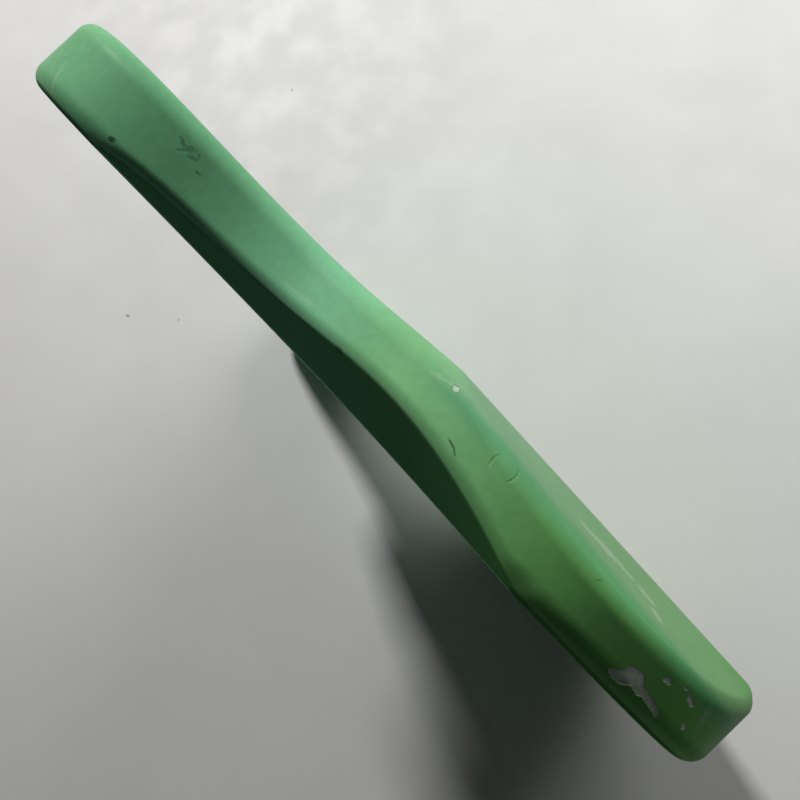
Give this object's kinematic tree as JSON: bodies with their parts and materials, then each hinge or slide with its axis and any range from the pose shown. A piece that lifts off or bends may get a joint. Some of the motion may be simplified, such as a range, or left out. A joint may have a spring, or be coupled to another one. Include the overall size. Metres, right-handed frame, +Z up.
{
  "type": "electric guitar body",
  "caption": "Bare contoured double-cutaway solid electric guitar body in aged pale green lacquer, with neck pocket, pickup, control and tremolo routs, standing on its treble edge.",
  "frame": {"origin": "under the middle of the body, on the surface that its treble edge stands on, half-way along its length and half-way through its thickness", "axes": "+X along the centreline from the butt end towards the neck, +Y towards the back face, +Z up from the treble side to the bass side"},
  "size_m": [0.46, 0.0446, 0.324],
  "materials": {
    "lacquered_alder": "aged glossy green lacquer over white primer on alder",
    "maple_dowel": "plain maple, flush under the lacquer",
    "plated_steel": "dull nickel plate",
    "tinned_brass": "tinned, tarnished"
  },
  "bodies": {
    "root": {"bass_stave": "lacquered_alder", "centre_stave": "lacquered_alder", "treble_stave": "lacquered_alder", "tail_locator_dowel": "maple_dowel", "waist_locator_dowel": "maple_dowel", "bass_bridge_bushing": "plated_steel", "treble_bridge_bushing": "plated_steel", "ground_lug": "tinned_brass", "ground_lug_screw": "plated_steel"}
  },
  "joints": []
}
